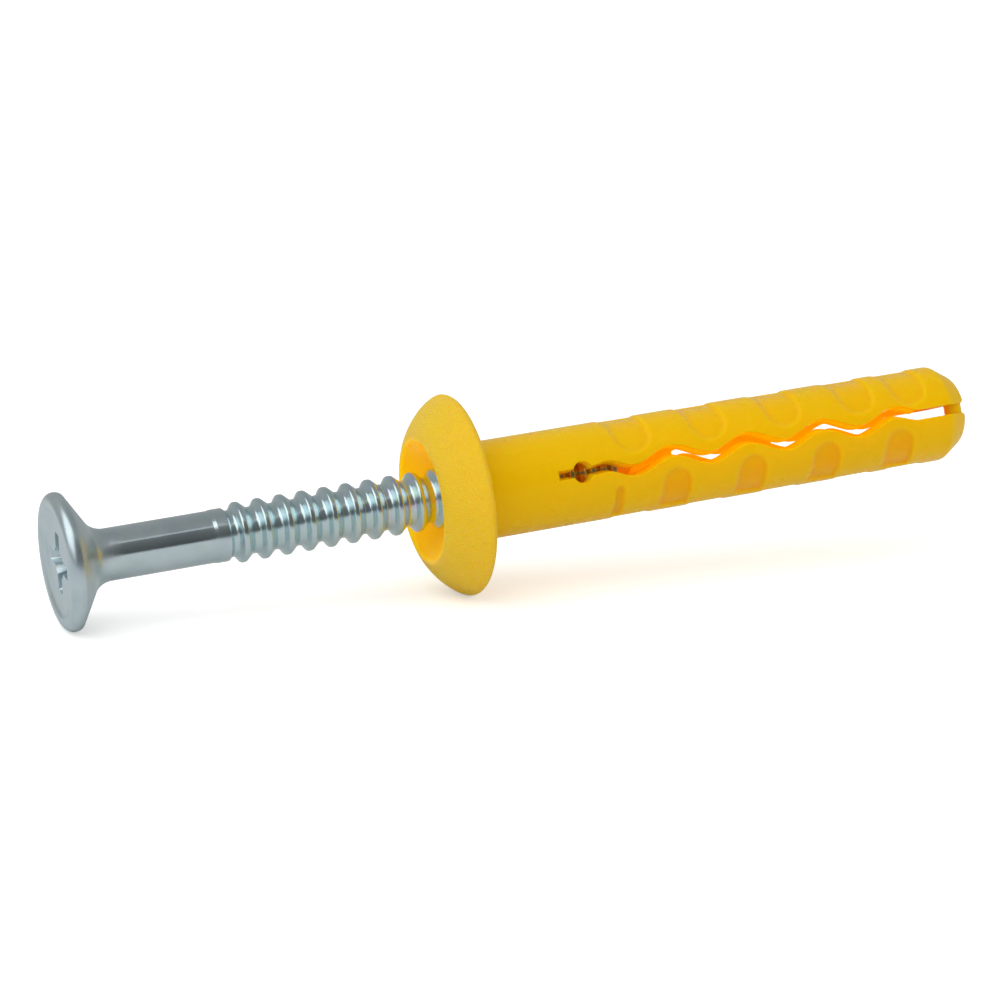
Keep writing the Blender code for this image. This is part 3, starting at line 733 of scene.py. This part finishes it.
def zinc_material():
    """Bright bluish zinc plating, greener on the ridges, its tint and gloss a little uneven, with a painted
    warm reflection where it lies in the sleeve.
    """
    made, tree, shader = new_material("zinc_plated_steel")
    place = own_place(tree)
    split = tree.nodes.new("ShaderNodeSeparateXYZ")
    tree.links.new(place, split.inputs["Vector"])
    broad = noise(tree, place, 420.0, 4.0)
    colour = mix_colours(tree, remap(tree, broad, 0.35, 0.65, 0.0, 1.0), ZINC_DARK, ZINC_LIGHT)
    on_ridges = remap(tree, split.outputs["Z"], SHANK_END - 0.2 * MM, SHANK_END + 0.6 * MM, 0.0, 0.8)
    colour = mix_colours(tree, on_ridges, colour, ZINC_RIDGES)
    tint = noise(tree, place, 1300.0, 2.0)
    near_collar = remap(tree, split.outputs["Z"], -12.0 * MM, -4.0 * MM, 0.15, 0.75)
    violet = math_node(tree, "MULTIPLY", remap(tree, tint, 0.54, 0.70, 0.0, 1.0), near_collar)
    olive = math_node(tree, "MULTIPLY", remap(tree, tint, 0.46, 0.32, 0.0, 1.0), near_collar)
    colour = mix_colours(tree, violet, colour, ZINC_VIOLET)
    colour = mix_colours(tree, olive, colour, ZINC_OLIVE)
    # Painted reflection: the nail's part inside the sleeve is coloured by the orange light in there.
    painted_warm_light = remap(tree, split.outputs["Z"], 2.0 * MM, 5.0 * MM, 0.0, 0.88)
    colour = mix_colours(tree, painted_warm_light, colour, ZINC_PAINTED_WARM_LIGHT)
    tree.links.new(colour, shader.inputs["Base Color"])
    fine = noise(tree, place, 3800.0, 3.0)
    on_head = remap(tree, split.outputs["Z"], -28.4 * MM, -30.2 * MM, 0.0, 0.21)
    gloss = remap(tree, broad, 0.3, 0.7, 0.09, 0.17)
    past_shank = remap(tree, split.outputs["Z"], SHANK_END - 1.8 * MM, SHANK_END - 0.9 * MM, 0.0, 0.09)
    rough = math_node(tree, "ADD", gloss, math_node(tree, "ADD", on_head, past_shank))
    tree.links.new(rough, shader.inputs["Roughness"])
    bump = add(tree, "ShaderNodeBump", Strength=0.10, Distance=0.02 * MM)
    tree.links.new(fine, bump.inputs["Height"])
    tree.links.new(bump.outputs["Normal"], shader.inputs["Normal"])
    shader.inputs["Metallic"].default_value = 1.0
    return made


def build_floor():
    """The floor, which is white to the camera and greyer to the rays that light the object."""
    mesh = bpy.data.meshes.new("floor")
    signs = ((-1, -1), (1, -1), (1, 1), (-1, 1))
    corners = [(x * FLOOR_HALF, y * FLOOR_HALF, FLOOR_HEIGHT) for x, y in signs]
    mesh.from_pydata(corners, [], [(0, 1, 2, 3)])
    floor = link(bpy.data.objects.new("floor", mesh))
    made, tree, shader = new_material("pale_floor")
    rays = tree.nodes.new("ShaderNodeLightPath").outputs
    unseen = mix_colours(tree, rays["Is Glossy Ray"], FLOOR_IN_LIGHT, FLOOR_IN_GLOSS)
    colour = mix_colours(tree, rays["Is Camera Ray"], unseen, FLOOR_COLOUR)
    tree.links.new(colour, shader.inputs["Base Color"])
    tree.links.new(mix_colours(tree, rays["Is Camera Ray"], BLACK, WHITE), shader.inputs["Emission Color"])
    shader.inputs["Emission Strength"].default_value = FLOOR_GLOW
    shader.inputs["Roughness"].default_value = 0.9
    shader.inputs["Specular IOR Level"].default_value = 0.0
    mesh.materials.append(made)


def build_world():
    """A white studio, which gloss sees as soft boxes in a darker room."""
    world = bpy.data.worlds.new("studio")
    bpy.context.scene.world = world
    world.use_nodes = True
    tree = world.node_tree
    background = tree.nodes["Background"]
    split = tree.nodes.new("ShaderNodeSeparateXYZ")
    tree.links.new(tree.nodes.new("ShaderNodeTexCoord").outputs["Generated"], split.inputs["Vector"])
    toward_viewer = math_node(tree, "MULTIPLY", split.outputs["Y"], -1.0)
    height = math_node(tree, "ARCTAN2", split.outputs["Z"], toward_viewer)
    ramp = tree.nodes.new("ShaderNodeValToRGB")
    tree.links.new(remap(tree, height, -math.pi, math.pi, 0.0, 1.0), ramp.inputs["Fac"])
    elements = ramp.color_ramp.elements
    while len(elements) > 1:
        elements.remove(elements[0])
    for i, (degrees, grey) in enumerate(GLOSS_STOPS):
        element = elements[0] if i == 0 else elements.new((degrees + 180) / 360)
        element.position = (degrees + 180) / 360
        element.color = (grey, grey, grey, 1.0)
    rays = tree.nodes.new("ShaderNodeLightPath").outputs
    plain = (WORLD_LIGHT, WORLD_LIGHT, WORLD_LIGHT, 1.0)
    room = mix_colours(tree, rays["Is Glossy Ray"], plain, ramp.outputs["Color"])
    tree.links.new(mix_colours(tree, rays["Is Camera Ray"], room, WHITE), background.inputs["Color"])
    background.inputs["Strength"].default_value = 1.0
    world.cycles.sampling_method = "NONE"


def build_light():
    """A broad soft light from above on the left, aimed at the world's origin."""
    data = bpy.data.lights.new("key", "AREA")
    data.shape = "RECTANGLE"
    data.size = KEY_SIZE
    data.size_y = KEY_SIZE
    data.energy = KEY_POWER
    lamp = link(bpy.data.objects.new("key", data))
    lamp.location = KEY_PLACE
    lamp.rotation_euler = (-Vector(KEY_PLACE)).to_track_quat("-Z", "Y").to_euler()


def build_camera():
    """The photo's camera: the axis start is put on its own pixel."""
    a, e = CAMERA_AZIMUTH, CAMERA_ELEVATION
    back = Vector((math.sin(a) * math.cos(e), -math.cos(a) * math.cos(e), math.sin(e)))
    right = Vector((math.cos(a), math.sin(a), 0.0))
    up = back.cross(right)
    reach = CAMERA_DISTANCE / FOCAL_PIXELS
    place = (Vector(AXIS_START) + back * CAMERA_DISTANCE - right * AXIS_START_RIGHT * reach
             + up * AXIS_START_DOWN * reach)
    data = bpy.data.cameras.new("camera")
    data.sensor_width = SENSOR_WIDTH
    data.lens = FOCAL_PIXELS / IMAGE_PIXELS * SENSOR_WIDTH
    data.clip_start = CLIP_START
    data.clip_end = CLIP_END
    camera = link(bpy.data.objects.new("camera", data))
    camera.matrix_world = Matrix.Translation(place) @ Matrix((right, up, back)).transposed().to_4x4()
    bpy.context.scene.camera = camera


POCKETS = list_pockets()

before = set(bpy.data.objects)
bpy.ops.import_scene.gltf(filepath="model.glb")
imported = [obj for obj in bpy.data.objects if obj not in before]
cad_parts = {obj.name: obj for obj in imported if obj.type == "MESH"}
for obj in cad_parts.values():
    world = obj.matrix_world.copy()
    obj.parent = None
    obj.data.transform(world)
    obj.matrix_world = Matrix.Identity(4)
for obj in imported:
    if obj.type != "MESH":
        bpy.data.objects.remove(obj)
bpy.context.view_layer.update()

sleeve = build_sleeve()
finish_mesh(sleeve, SLEEVE_SHARP)
sleeve.data.materials.clear()
sleeve.data.materials.append(nylon_material())
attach(sleeve, "sleeve")
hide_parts("sleeve")

nail = build_nail()
finish_mesh(nail, NAIL_SHARP)
nail.data.materials.clear()
nail.data.materials.append(zinc_material())
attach(nail, "nail")
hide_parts("nail")

build_floor()
build_world()
build_light()
build_camera()
bpy.context.scene.view_settings.view_transform = "Standard"
